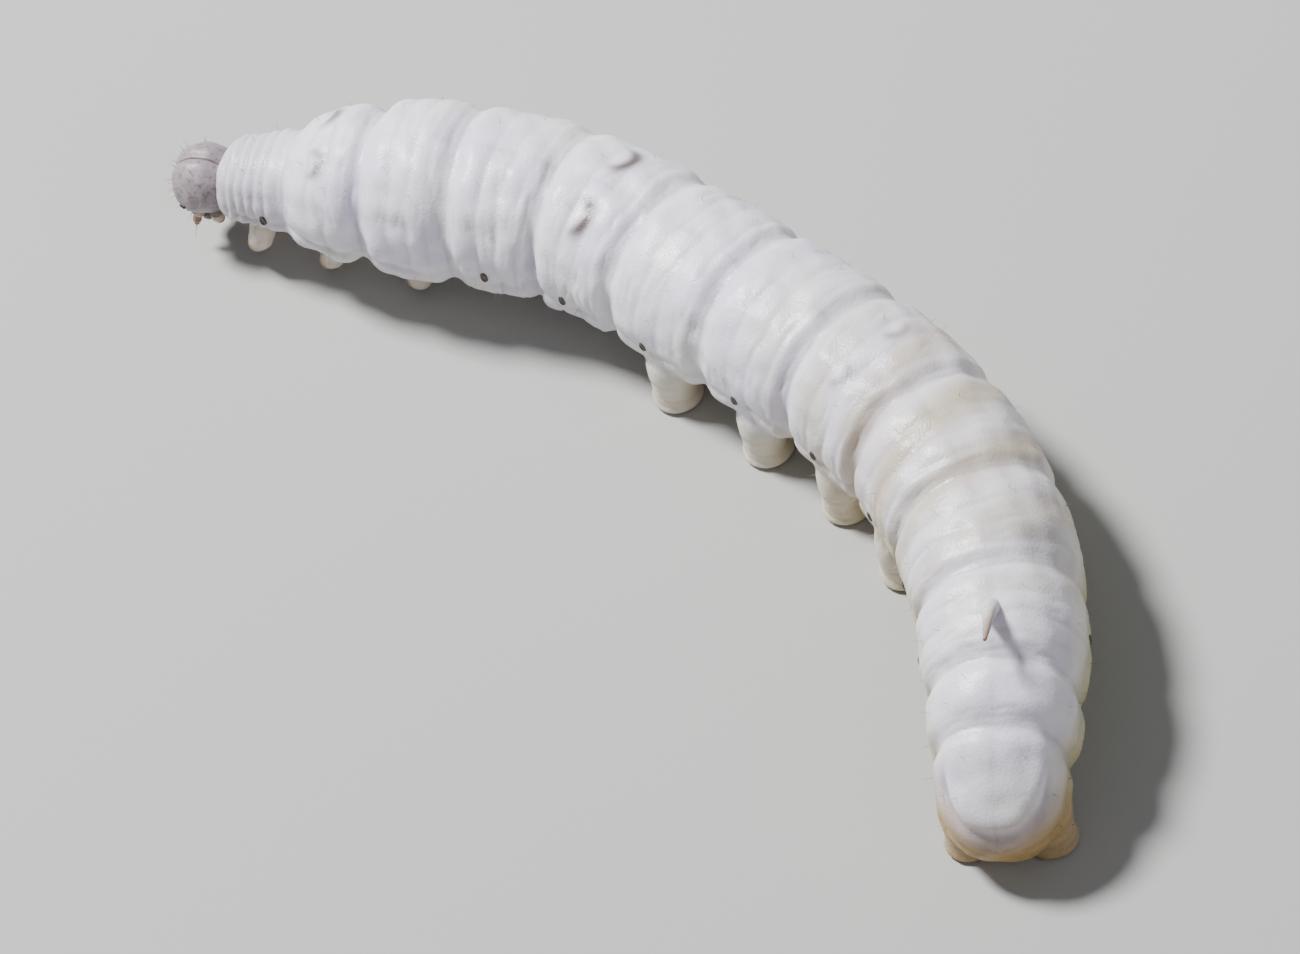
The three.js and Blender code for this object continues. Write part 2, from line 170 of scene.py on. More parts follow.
def along(key, s):
    """A size of the body that runs smoothly through its value in the middle of every segment."""
    values = np.array([SEGMENTS[n][NAMES.index(key)] for n in ORDER])
    s = np.asarray(s, float)
    last = len(KNOTS) - 1
    i = np.clip(np.searchsorted(KNOTS, s, side="right"), 1, last)
    p0, p1, p2, p3 = (values[np.clip(i + k, 0, last)] for k in (-2, -1, 0, 1))
    t = (s - KNOTS[i - 1]) / (KNOTS[i] - KNOTS[i - 1])
    cubic = 0.5 * (
        2 * p1 + (p2 - p0) * t + (2 * p0 - 5 * p1 + 4 * p2 - p3) * t**2 + (3 * p1 - p0 - 3 * p2 + p3) * t**3
    )
    first = values[0] + (values[1] - values[0]) * t / 2
    return np.where(s < KNOTS[0], first, np.where(s > KNOTS[-1], values[-1], cubic))


def fold_depth(s):
    depth = 0
    for i, at in enumerate(STARTS[1:], 1):
        deeper = SHOULDER_FOLD if i == 2 else 1
        depth = depth + FOLD_DEPTH * deeper * bell((s - at) / FOLD_REACH)
    return depth


def midline(s):
    """Height of the body's widest line above the floor."""
    return along("belly", s) + along("drop", s) - TAIL_DIP * smooth(s, LENGTH - TAIL_DIP_LENGTH, LENGTH)


# How far the solids were moved to stand with the middle of their box at the origin.
SHIFT = np.zeros(3)


def beside(s, left, z):
    """Points beside the spine. Left is the animal's own left, seen from its tail."""
    h = heading(s)
    at = on_spine(s)
    x = at[..., 0] + np.sin(h) * left
    y = at[..., 1] - np.cos(h) * left
    return np.stack(np.broadcast_arrays(x, y, z), -1) + SHIFT


def rearwards(s):
    return np.array([math.cos(heading(s)), math.sin(heading(s)), 0.0])


def leftwards(s):
    return np.array([math.sin(heading(s)), -math.cos(heading(s)), 0.0])


def skin(s, angle):
    """Points of the skin. The angle runs from the left flank over the back."""
    s = np.asarray(s, float)
    at_tail = np.maximum(0, (s - LENGTH + TAIL_ROUNDING) / TAIL_ROUNDING)
    at_neck = np.maximum(0, (HEAD_LENGTH - COLLAR + COLLAR_ROUNDING - s) / COLLAR_ROUNDING)
    closing = np.sqrt(np.maximum(0.0001, 1 - at_tail**2 - COLLAR_CLOSING * at_neck**2))
    c, d = np.cos(angle), np.sin(angle)
    inner = fold_depth(s) * (1 + PINCH * bending(s) * c) * (0.8 + 0.2 * smooth(d, -0.7, 0))
    ridge = FLANK_RIDGE * bell((d - FLANK_RIDGE_AT) / FLANK_RIDGE_REACH)
    wide = along("wide", s) * closing - inner + ridge
    tall = np.where(d > 0, along("rise", s), along("drop", s)) * closing - inner + ridge
    side = wide * np.sign(c) * np.abs(c) ** SQUARENESS
    return beside(s, side, midline(s) + tall * np.sign(d) * np.abs(d) ** SQUARENESS)


# One solid's box, against the same stretch of skin, shows the shift.
HALF_GAP = 0.15  # half the space between the solids of two segments
box_low, box_high = (np.array(corner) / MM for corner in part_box("thorax_3"))
stretch = skin(
    np.linspace(start("thorax_3") + HALF_GAP, start("abdomen_1") - HALF_GAP, 40)[:, None],
    np.linspace(0, 2 * np.pi, 97)[None, :],
).reshape(-1, 3)
SHIFT = (box_low + box_high) / 2 - (stretch.min(0) + stretch.max(0)) / 2
SHIFT[2] = 0


# Meshes
def added(name, data):
    """A new object of the scene."""
    made = bpy.data.objects.new(name, data)
    bpy.context.scene.collection.objects.link(made)
    return made


def mesh_object(name, points, faces, look=None):
    mesh = bpy.data.meshes.new(name)
    mesh.from_pydata((np.asarray(points) * MM).tolist(), [], [tuple(map(int, f)) for f in faces])
    mesh.update()
    mesh.polygons.foreach_set("use_smooth", [True] * len(mesh.polygons))
    if look:
        mesh.materials.append(look)
    return added(name, mesh)


def grid_faces(rows, columns):
    """Quads between rows of points that close round, facing out when the rows turn about the way on."""
    j, i = np.meshgrid(np.arange(rows - 1), np.arange(columns), indexing="ij")
    a = j * columns + i
    b = j * columns + (i + 1) % columns
    return np.stack([a, b, b + columns, a + columns], -1).reshape(-1, 4).tolist()


def loft(rings):
    """Points and faces of a closed form through rings of equal count."""
    rings = np.asarray(rings, float)
    rows, columns = rings.shape[:2]
    points = np.concatenate([rings.reshape(-1, 3), [rings[0].mean(0)], [rings[-1].mean(0)]])
    faces = grid_faces(rows, columns)
    first, last = rows * columns, rows * columns + 1
    for i in range(columns):
        after = (i + 1) % columns
        faces.append((first, after, i))
        faces.append((last, (rows - 1) * columns + i, (rows - 1) * columns + after))
    return points, faces


def limb(line, halves, corners, side_way=None, level=False):
    """Rings of a round form along a line of points, with its half width at each.

    side_way sets where each ring begins, and level keeps all rings parallel to the floor.
    """
    line = np.asarray(line, float)
    way = np.gradient(line, axis=0)
    way /= np.linalg.norm(way, axis=1)[:, None]
    if level:
        way = np.tile([0.0, 0.0, -1.0], (len(line), 1))
    if side_way is None:
        side = np.cross(np.tile([0.0, 0.0, 1.0], (len(line), 1)), way)
    else:
        side = np.tile(side_way, (len(line), 1))
        side = side - (side * way).sum(1)[:, None] * way
    side /= np.linalg.norm(side, axis=1)[:, None]
    across = np.cross(way, side)
    turn = np.linspace(0, 2 * np.pi, corners, endpoint=False)
    halves = np.asarray(halves, float)[:, None, None]
    return (
        line[:, None]
        + halves * np.cos(turn)[None, :, None] * side[:, None]
        + halves * np.sin(turn)[None, :, None] * across[:, None]
    )


def per_point(values, corners):
    """Spreads one value for each ring over all the points of a loft, its two end points included."""
    return np.append(np.repeat(values, corners), (values[0], values[-1]))


def padded_with(value, shade, count):
    """The shade of a piece's first points, with one value for all the others."""
    return np.pad(shade, (0, count - len(shade)), constant_values=value)


def paint(mesh, name, values):
    """Stores a value for each point, which a material reads as a share of one of its colours."""
    mesh.attributes.new(name, "FLOAT", "POINT").data.foreach_set("value", np.asarray(values, np.float32))


def joined(parts):
    """Points and faces of many closed forms as one."""
    points, faces, base = [], [], 0
    for some_points, some_faces in parts:
        points.append(np.asarray(some_points))
        faces += [tuple(i + base for i in f) for f in some_faces]
        base += len(some_points)
    return np.concatenate(points), faces


def ball(centre, size, turn=None, rows=16, columns=24):
    """An egg-shaped closed form; turn is a 3 by 3 matrix."""
    down = np.linspace(0, np.pi, rows + 1)[1:-1, None]
    round_it = -np.linspace(0, 2 * np.pi, columns, endpoint=False)
    x, y = np.sin(down) * np.cos(round_it), np.sin(down) * np.sin(round_it)
    points, faces = loft(np.stack(np.broadcast_arrays(x, y, np.cos(down)), -1))
    points[-2] = (0, 0, 1)
    points[-1] = (0, 0, -1)
    points = points * np.asarray(size)
    if turn is not None:
        points = points @ np.asarray(turn).T
    return points + np.asarray(centre), faces


# Materials
def material(name, colour, roughness):
    made = bpy.data.materials.new(name)
    made.use_nodes = True
    shader = made.node_tree.nodes["Principled BSDF"]
    shader.inputs["Base Color"].default_value = (*colour, 1)
    shader.inputs["Roughness"].default_value = roughness
    return made, made.node_tree, shader


def noise(tree, scale, detail=4.0, rough=0.55):
    """A noise whose grains are about scale millimetres across."""
    place = tree.nodes.new("ShaderNodeTexCoord")
    made = tree.nodes.new("ShaderNodeTexNoise")
    made.inputs["Scale"].default_value = 1 / (scale * MM)
    made.inputs["Detail"].default_value = detail
    made.inputs["Roughness"].default_value = rough
    tree.links.new(place.outputs["Object"], made.inputs["Vector"])
    return made.outputs["Fac"]


def cells(tree, size):
    """Distance to the edges of a net of cells about size millimetres across."""
    place = tree.nodes.new("ShaderNodeTexCoord")
    made = tree.nodes.new("ShaderNodeTexVoronoi")
    made.feature = "DISTANCE_TO_EDGE"
    made.inputs["Scale"].default_value = 1 / (size * MM)
    tree.links.new(place.outputs["Object"], made.inputs["Vector"])
    return ramp(tree, made.outputs["Distance"], 0.0, 0.25)


def ramp(tree, value, low, high, first=0.0, last=1.0):
    """Runs from first to last while the value goes from low to high."""
    made = tree.nodes.new("ShaderNodeMapRange")
    for socket, number in zip(("From Min", "From Max", "To Min", "To Max"), (low, high, first, last)):
        made.inputs[socket].default_value = number
    tree.links.new(value, made.inputs["Value"])
    return made.outputs["Result"]


def blend_colours(tree, share, first, second):
    """Mixes two colours; each is a triple or a node's output."""
    made = tree.nodes.new("ShaderNodeMix")
    made.data_type = "RGBA"
    for socket, colour in zip(("A", "B"), (first, second)):
        target = [s for s in made.inputs if s.name == socket and s.type == "RGBA"][0]
        if isinstance(colour, tuple):
            target.default_value = (*colour, 1)
        else:
            tree.links.new(colour, target)
    tree.links.new(share, made.inputs["Factor"])
    return [s for s in made.outputs if s.type == "RGBA"][0]


def over(tree, colour, paints):
    """Lays tints over a colour, each by the paint of its name."""
    for name, tint in paints.items():
        made = tree.nodes.new("ShaderNodeAttribute")
        made.attribute_name = name
        colour = blend_colours(tree, made.outputs["Fac"], colour, tint)
    return colour


def bumped(tree, shader, heights):
    """Chains bumps: (value, height in millimetres)."""
    normal = None
    for value, height in heights:
        made = tree.nodes.new("ShaderNodeBump")
        made.inputs["Strength"].default_value = 1.0
        made.inputs["Distance"].default_value = height * MM
        tree.links.new(value, made.inputs["Height"])
        if normal:
            tree.links.new(normal, made.inputs["Normal"])
        normal = made.outputs["Normal"]
    tree.links.new(normal, shader.inputs["Normal"])


def skin_material():
    """Milk-white and waxy, with painted shade: mauve-grey in the folds, grey at the neck, darker mid-rear.

    Olive low on the flanks is painted shade and painted reflection over a yellowish tint, and the
    brown at the tail is deepened low down by painted shade.
    """
    made, tree, shader = material("silkworm_skin", (0.80, 0.78, 0.80), 0.5)
    shader.inputs["Subsurface Weight"].default_value = 0.35
    shader.inputs["Subsurface Radius"].default_value = (1.0, 0.62, 0.5)
    shader.inputs["Subsurface Scale"].default_value = 0.8 * MM
    shader.inputs["Specular IOR Level"].default_value = 0.5
    clouds = ramp(tree, noise(tree, 4.0, 3), 0.35, 0.65)
    patches = ramp(tree, noise(tree, 1.1, 5, 0.65), 0.45, 0.75, 0, 0.5)
    colour = blend_colours(tree, clouds, (0.80, 0.77, 0.91), (0.84, 0.83, 0.84))
    colour = blend_colours(tree, patches, colour, (0.67, 0.63, 0.73))
    paints = {
        # warm: a warm tone with painted shade over the middle and rear of the body
        "warm_tone_and_shade": (0.54, 0.46, 0.34),
        # flank: painted shade and painted reflection of green light over the flanks' own yellowish tint
        "flank": (0.43, 0.39, 0.17),
        # neck: painted shade on the first segment
        "neck_shade": (0.46, 0.42, 0.46),
        "leg": (0.70, 0.60, 0.42),
        # tail: the tail's own brown, deepened low down by painted shade
        "tail": (0.33, 0.19, 0.05),
        # fold: painted shade in the grooves and folds
        "fold": (0.42, 0.35, 0.40),
        "mark": (0.11, 0.07, 0.065),
    }
    tree.links.new(over(tree, colour, paints), shader.inputs["Base Color"])
    tree.links.new(ramp(tree, noise(tree, 0.6), 0.3, 0.7, 0.30, 0.48), shader.inputs["Roughness"])
    puckers = (noise(tree, 0.9, 3), 0.05)
    net = (cells(tree, 0.22), 0.006)
    grain = (noise(tree, 0.16, 2), 0.006)
    bumped(tree, shader, [puckers, net, grain])
    return made


def horny(name, first, second, roughness, grain, blots=None, low=0.35, high=0.7, rough=0.55, **paints):
    """A hard, slightly glossy shell: blots of two colours, fine grain, and tints where it is painted."""
    made, tree, shader = material(name, first, roughness)
    mottle = ramp(tree, noise(tree, blots or grain * 2, rough=rough), low, high)
    colour = over(tree, blend_colours(tree, mottle, first, second), paints)
    tree.links.new(colour, shader.inputs["Base Color"])
    gloss = ramp(tree, noise(tree, grain), 0.3, 0.7, roughness - 0.08, roughness + 0.12)
    tree.links.new(gloss, shader.inputs["Roughness"])
    bumped(tree, shader, [(noise(tree, grain * 0.5), 0.02)])
    return made


skin_look = skin_material()
head_look = horny(
    "silkworm_head",
    (0.30, 0.25, 0.27),
    (0.19, 0.145, 0.15),
    roughness=0.34,
    grain=0.12,
    blots=0.22,
    low=0.5,
    high=0.66,
    rough=0.6,
    pale=(0.52, 0.44, 0.38),
    dusk=(0.16, 0.11, 0.10),
    seam=(0.13, 0.08, 0.07),
)
palp_look = horny(
    "silkworm_palp",
    (0.58, 0.48, 0.40),
    (0.46, 0.35, 0.27),
    roughness=0.36,
    grain=0.2,
    blots=0.3,
    low=0.4,
    plate=(0.25, 0.13, 0.07),
)
leg_look = horny(
    "silkworm_leg",
    (0.66, 0.58, 0.50),
    (0.56, 0.46, 0.36),
    roughness=0.4,
    grain=0.3,
    blots=0.5,
    low=0.4,
    plate=(0.40, 0.26, 0.15),
    tip=(0.07, 0.03, 0.015),
)
horn_look = horny(
    "silkworm_horn",
    (0.74, 0.70, 0.70),
    (0.60, 0.52, 0.50),
    roughness=0.45,
    grain=0.3,
    blots=0.4,
    low=0.4,
    tip=(0.34, 0.22, 0.16),
)
jaw_look = horny("silkworm_jaw", (0.10, 0.045, 0.025), (0.05, 0.02, 0.012), 0.25, 0.2)
hair_look = horny("silkworm_hair", (0.42, 0.33, 0.26), (0.30, 0.22, 0.17), 0.4, 0.2)
spiracle_look = horny("silkworm_spiracle", (0.035, 0.025, 0.022), (0.09, 0.055, 0.04), 0.3, 0.08)
hook_look = horny("silkworm_hook", (0.22, 0.11, 0.05), (0.12, 0.06, 0.03), 0.3, 0.1)
eye_look = horny("silkworm_eye", (0.012, 0.009, 0.009), (0.03, 0.02, 0.02), 0.16, 0.1)

# The body and its feet, as one skin of even faces
PROLEG = {"root": 1.55, "waist": 1.15, "foot": 1.25, "root_side": 2.7, "foot_side": 3.5}
CLASPER = {"root": 1.5, "waist": 1.25, "foot": 1.3, "root_side": 1.5, "foot_side": 2.0}
PROLEG_TOP = 3.8
PROLEG_KNEE = 1.5
PROLEG_STEPS = 40
PROLEG_CORNERS = 32
PROLEG_CREASES = (0.5, 0.66, 0.8)  # shares of the way down
# Each foot: its station, how far it slants back, its side and its sizes.
FEET = [(middle_of(f"abdomen_{n}"), 0.0, side, PROLEG) for n in (3, 4, 5, 6) for side in (1, -1)]
FEET += [(LENGTH - 2.9, 0.2, side, CLASPER) for side in (1, -1)]
BODY_RINGS = 520
BODY_CORNERS = 128
VOXEL = 0.14
EASING = 0.06  # how much the whole skin is relaxed in each round; the feet's roots are relaxed more
MOST_EASING = 0.9
EASING_ROUNDS = 14


def proleg(s, back, side, size):
    """A soft leg from inside the belly down to its sole, ringed by shallow creases."""
    line = through(
        [
            beside(s, side * size["root_side"], PROLEG_TOP),
            beside(s + back * 0.6, side * size["foot_side"], PROLEG_KNEE),
            beside(s + back, side * size["foot_side"], 0.0),
        ],
        PROLEG_STEPS,
    )
    t = np.linspace(0, 1, PROLEG_STEPS)
    halves = mix(size["root"], size["waist"], smooth(t, 0.1, 0.65))
    halves = halves + (size["foot"] - size["waist"]) * smooth(t, 0.65, 0.9)
    for crease_at in PROLEG_CREASES:
        halves = halves - 0.13 * bell((t - crease_at) / 0.03)
    halves = halves - 0.25 * smooth(t, 0.93, 1)
    return loft(limb(line, halves, PROLEG_CORNERS, leftwards(s), level=True))


def evenly_meshed(parts):
    """One closed mesh over all the parts, still in millimetres."""
    some_points, faces = joined(parts)
    rough = mesh_object("rough_skin", some_points / MM, faces)
    remesh = rough.modifiers.new("even", "REMESH")
    remesh.mode = "VOXEL"
    remesh.voxel_size = VOXEL
    even = rough.evaluated_get(bpy.context.evaluated_depsgraph_get())
    mesh = bpy.data.meshes.new_from_object(even)
    bpy.data.objects.remove(rough)
    return mesh


def read(mesh):
    """The points of a mesh, and the pairs of points that its edges join."""
    some_points = np.empty(len(mesh.vertices) * 3)
    mesh.vertices.foreach_get("co", some_points)
    some_edges = np.empty(len(mesh.edges) * 2, np.int64)
    mesh.edges.foreach_get("vertices", some_edges)
    return some_points.reshape(-1, 3), some_edges.reshape(-1, 2)


def relaxed(points, edges, share, rounds):
    """Moves every point by its share towards the mean of its neighbours, a few times."""
    count = np.bincount(edges.ravel(), minlength=len(points))[:, None]
    for _ in range(rounds):
        total = np.stack(
            [
                np.bincount(edges[:, 0], points[edges[:, 1], k], len(points))
                + np.bincount(edges[:, 1], points[edges[:, 0], k], len(points))
                for k in range(3)
            ],
            1,
        )
        points = points + share[:, None] * (total / count - points)
    return points


def nearest_station(points):
    """How far along the spine each point lies: the nearest coarse station, then refined."""
    best = np.empty(len(points))
    coarse = np.arange(0, LENGTH + 1, 0.5)
    places = on_spine(coarse) + SHIFT[:2]
    batch = 20000
    for k in range(0, len(points), batch):
        some = points[k : k + batch, None, :2] - places[None]
        best[k : k + batch] = coarse[np.square(some).sum(2).argmin(1)]
    for _ in range(3):
        at = on_spine(best) + SHIFT[:2]
        h = heading(best)
        best = best + (points[:, 0] - at[:, 0]) * np.cos(h) + (points[:, 1] - at[:, 1]) * np.sin(h)
    return np.clip(best, 0, LENGTH + 1)


def body_place(points):
    """Station, height angle, how far out (1 is the plain skin) and how far left each point lies."""
    s = nearest_station(points)
    at = on_spine(s) + SHIFT[:2]
    h = heading(s)
    left = (points[:, 0] - at[:, 0]) * np.sin(h) - (points[:, 1] - at[:, 1]) * np.cos(h)
    middle = midline(s)
    up = points[:, 2] - middle
    angle = np.arctan2(up / np.where(up > 0, along("rise", s), along("drop", s)), left / along("wide", s))
    near = skin(s, angle)
    out = np.hypot(left, up) / np.hypot(np.linalg.norm(near[:, :2] - at, axis=1), near[:, 2] - middle)
    return s, angle, out, left


def foot_zones(points):
    """Shares of the root of every foot, where it runs into the belly, and of the whole foot."""
    root_zone, foot_zone = np.zeros((2, len(points)))
    for at, back, side, size in FEET:
        foot = beside(at + back, side * size["foot_side"], 0.0)
        root = beside(at, side * size["root_side"], 0.0)
        away = np.linalg.norm(points[:, :2] - (foot + root)[:2] / 2, axis=1)
        near = bell(np.maximum(0, away - 0.9) / 1.3)
        top = float(along("belly", at)) + 0.8
        root_zone = np.maximum(root_zone, near * bell((points[:, 2] - top) / 0.8))
        foot_zone = np.maximum(foot_zone, near * (1 - smooth(points[:, 2], top - 0.6, top + 1.4)))
    return root_zone, foot_zone


stations = np.linspace(HEAD_LENGTH - COLLAR, LENGTH - 0.005, BODY_RINGS)
turns = -np.linspace(0, 2 * np.pi, BODY_CORNERS, endpoint=False)
body_mesh = evenly_meshed([loft(skin(stations[:, None], turns[None, :]))] + [proleg(*foot) for foot in FEET])
points, edges = read(body_mesh)
root_zone, foot_zone = foot_zones(points)
points = relaxed(points, edges, np.clip(EASING + root_zone, 0, MOST_EASING), EASING_ROUNDS)
body_mesh.vertices.foreach_set("co", points.ravel())
body_mesh.update()
s, angle, out, left = body_place(points)
height = np.sin(angle)
body_share = 1 - smooth(out, 1.03, 1.12)

# Folds, wrinkles and creases of the skin
# Each kind of wrinkle: how far it reaches to its sides, how deep it is, how dark the painted shade on its
# floor is.
ANNULET = (0.24, 0.06, 0.24)
RIPPLE = (0.12, 0.05, 0.16)
FOLD_CREASE = (0.07, 0.035, 0.22)
NECK_RING = (0.13, 0.13, 0.5)
RINGED = range(1, 11)  # the segments that annulets and ripples divide
ANNULETS_AT = (0.36, 0.58, 0.8)
RIPPLES = 9
CREASES_AT = (-0.55, -0.32, 0.34, 0.6)  # from each fold's floor
NECK_RINGS = 5
NECK_RING_STEP = 0.55
CROWDING = 14  # how much deeper the wrinkles are inside a bend
FURROWS = ((0.45, 0.05, 0.14), (-0.16, 0.17, 0.07), (-0.62, 0.14, 0.09))  # height, depth, reach
LUMPS = 36
LUMP_SIZES = (1.1, 2.6)
LUMP_HEIGHT = 0.008
FOOT_CREASES = ((0.60, 0.05), (0.92, 0.07), (1.36, 0.09), (1.9, 0.07))  # level, depth
SOLE_RIM = (0.26, 0.07, 0.16)  # level, height, reach
# Stations and height angles of the breathing holes, nine along each flank.
HOLE_DROP = 4  # degrees below the body's widest line
HOLE_CALM = 0.6
HOLES = []
for name in ["thorax_1"] + [f"abdomen_{n}" for n in range(1, 9)]:
    at = middle_of(name, 0.62 if name == "thorax_1" else 0.42)
    HOLES += [(at, math.radians(-HOLE_DROP)), (at, math.radians(180 + HOLE_DROP))]

rng = np.random.default_rng(7)
lift, foot_lift = np.zeros((2, len(points)))
# Painted shade on the floors of the grooves, on the body and on the prolegs
crease_shade, foot_crease_shade = np.zeros((2, len(points)))
squeeze = 1 + CROWDING * bending(s) * np.cos(angle)


def waves(count, low, high):
    """A smooth random line round the body: a sum of sines of the height angle."""
    total = 0
    for _ in range(count):
        total = total + np.sin(angle * rng.integers(low, high) + rng.uniform(0, 2 * np.pi))
    return total / count


def wrinkle(line, kind, share):
    """Sinks the skin along a line round the body, and paints shade on the groove's floor."""
    reach, deep, dark = kind
    lift[:] -= deep * bell((s - line) / reach) * share
    crease_shade[:] = np.maximum(crease_shade, dark * bell((s - line) / (reach * 0.55)) * share)


for i, (first, length) in enumerate(zip(STARTS, LENGTHS)):
    if i in RINGED:
        for share in ANNULETS_AT:
            line = first + (share + 0.03 * waves(3, 2, 9)) * length
            wrinkle(line, ANNULET, (0.7 + 0.5 * waves(3, 2, 7)) * squeeze * smooth(height, -0.9, -0.1))
        for k in range(RIPPLES):
            line = first + ((k + 0.5) / RIPPLES + 0.05 * waves(3, 3, 12)) * length
            wrinkle(line, RIPPLE, np.clip(waves(4, 3, 14) + 0.1, 0, 1) * squeeze)
    for away in CREASES_AT:
        line = first + away + 0.08 * waves(3, 4, 13)
        wrinkle(line, FOLD_CREASE, np.clip(waves(3, 3, 11) + 0.35, 0, 1) * squeeze)
# The neck is gathered into rings behind the head.
for k in range(NECK_RINGS):
    line = HEAD_LENGTH - 0.1 + NECK_RING_STEP * k + 0.06 * waves(3, 3, 9)
    wrinkle(line, NECK_RING, 0.8 + 0.3 * waves(3, 2, 7))
# Lengthwise furrows part the back from the flank, and the flank from the belly.
inside = np.zeros(len(points))
for knot, length in zip(KNOTS, LENGTHS):
    inside = np.maximum(inside, bell((s - knot) / (length * 0.42)))
for at_height, depth, reach in FURROWS:
    wander = 0.04 * np.sin(s * 1.3 + at_height * 9) + 0.02 * np.sin(s * 3.7)
    lift -= depth * bell((height - at_height - wander) / reach) * inside
# Soft lumps all over, from waves in random directions.
for _ in range(LUMPS):
    way = rng.normal(size=3)
    way *= 2 * np.pi / rng.uniform(*LUMP_SIZES) / np.linalg.norm(way)
    lift += LUMP_HEIGHT * np.sin(points @ way + rng.uniform(0, 2 * np.pi))
# The skin lies flat round each breathing hole.
for at, height_angle in HOLES:
    lift *= 1 - bell(np.linalg.norm(points - skin(at, height_angle), axis=1) / HOLE_CALM)
# The prolegs are ringed by soft, broken creases with painted shade in them, and swell at the rim of the sole.
for level, deep in FOOT_CREASES:
    wander = 0.11 * np.sin(points[:, 0] * 1.9 + level * 5) + 0.09 * np.sin(points[:, 1] * 2.3 + level * 3)
    broken = 0.55 + 0.45 * np.sin(points[:, 0] * 1.3 - points[:, 1] * 1.7 + level * 9)
    above = points[:, 2] - level - wander
    foot_lift -= deep * broken * bell(above / 0.09)
    foot_crease_shade = np.maximum(foot_crease_shade, 0.16 * broken * bell(above / 0.05))
foot_lift += SOLE_RIM[1] * bell((points[:, 2] - SOLE_RIM[0]) / SOLE_RIM[2])

# The anal plate: a flap over the last segment, with a groove under its rounded rear edge and painted shade in
# that groove.
PLATE_FRONT = LENGTH - 3.0
PLATE_BACK = LENGTH - 0.32
PLATE_HALF = 2.5
PLATE_SQUARENESS = 2.1
plate_way = (s - PLATE_FRONT) / (PLATE_BACK - PLATE_FRONT)
plate_rim = np.maximum(plate_way, 0) ** PLATE_SQUARENESS + np.abs(left / PLATE_HALF) ** PLATE_SQUARENESS
plate_rim = plate_rim ** (1 / PLATE_SQUARENESS)
plate_shown = smooth(plate_way, -0.25, 0.35) * smooth(height, 0.02, 0.25)
lift += plate_shown * (0.09 * bell((plate_rim - 0.86) / 0.14) - 0.20 * bell((plate_rim - 1.05) / 0.06))
crease_shade = np.maximum(crease_shade, 0.6 * plate_shown * bell((plate_rim - 1.05) / 0.05))

normals = np.empty(len(points) * 3)
body_mesh.vertices.foreach_get("normal", normals)
normals = normals.reshape(-1, 3)
points = points + normals * (lift * body_share + foot_lift * (1 - body_share))[:, None]
points[:, 2] = np.maximum(points[:, 2], 0)
body_mesh.vertices.foreach_set("co", (points * MM).ravel())

# Colours of the skin, with painted shade and a painted reflection among them
# Each pair of curved marks: segment, place along it, degrees off the back line, size, width, darkness.
CRESCENTS = (
    ("thorax_2", 0.35, 24, 0.75, 0.34, 0.8),
    ("abdomen_2", 0.40, 26, 0.85, 0.4, 0.95),
    ("abdomen_5", 0.40, 24, 0.6, 0.32, 0.6),
)
BACK_RADIUS = 4.2


def crescent(name, share, side, degrees, size, width):
    """A curved mark beside the back line, open to the front and tapered to its ends."""
    across = (angle - np.pi / 2 + side * math.radians(degrees)) * BACK_RADIUS
    lengthways = s - middle_of(name, share)
    away = np.hypot(across, lengthways)
    tapered = smooth(lengthways, -0.3, 0.7)
    return bell((away - size) / (width * (0.4 + 0.6 * tapered))) * tapered


def painted_fold_shade():
    """Painted shade: mauve-grey in every groove, and darkest in the folds between segments."""
    shade = crease_shade.copy()
    for i, at in enumerate(STARTS[1:]):
        shade = np.maximum(shade, (0.42 + 0.2 * np.sin(angle * 3 + i)) * bell((s - at) / 0.14))
        shade = np.maximum(shade, 0.1 * bell((s - at) / 0.6))
    return shade * body_share * smooth(height, -1, 0.2) + foot_crease_shade * (1 - body_share)


def tail_brown_and_shade():
    """Brown, the tail's own and deepened by painted shade, comes up from below at the tail, and round the end
    of the last segment.
    """
    shade = smooth(s, start("abdomen_9") + 1, LENGTH - 0.8) * (0.2 + 0.8 * (1 - smooth(height, -0.2, 0.75)))
    end = smooth(s, LENGTH - 4.5, LENGTH - 1.5) * (1 - smooth(points[:, 2], 2.6, 5.6))
    return np.maximum(shade, 0.95 * end)


def mark_paint():
    """A faint line along the back, the crescents, and a dusky patch on the right of abdomen 7."""
    behind_thorax = smooth(s, start("thorax_3"), start("abdomen_1"))
    back_line = bell(np.cos(angle) / 0.045) * smooth(height, 0, 0.5) * behind_thorax
    shade = 0.16 * back_line * (0.6 + 0.4 * np.sin(s * 2.2))
    for name, share, degrees, size, width, dark in CRESCENTS:
        for side in (1, -1):
            shade = np.maximum(shade, dark * crescent(name, share, side, degrees, size, width))
    patch = bell((s - middle_of("abdomen_7", 0.75)) / 0.9) * bell((np.cos(angle) + 0.55) / 0.3)
    return np.maximum(shade, 0.6 * (patch * smooth(height, 0, 0.4))) * body_share


def flank_tint_shade_and_reflection():
    """Olive low on the flanks, stronger and higher towards the rear: painted shade and painted reflection of
    green light over a yellowish tint.
    """
    rear = smooth(s, start("abdomen_5"), start("abdomen_8"))
    low_down = 1 - smooth(height, -0.75 + 0.3 * rear, 0.35 + 0.4 * rear)
    shade = low_down * (0.3 + 0.7 * smooth(s, start("abdomen_4"), start("abdomen_8")))
    return shade * body_share + 0.35 * (1 - body_share)


# A warm tone over the middle and rear of the body, partly the skin's own and partly painted shade.
warm_tone_and_shade = bell((s - middle_of("abdomen_6")) / 9) * (0.62 + 0.38 * np.sin(s * 1.7 + angle * 2))
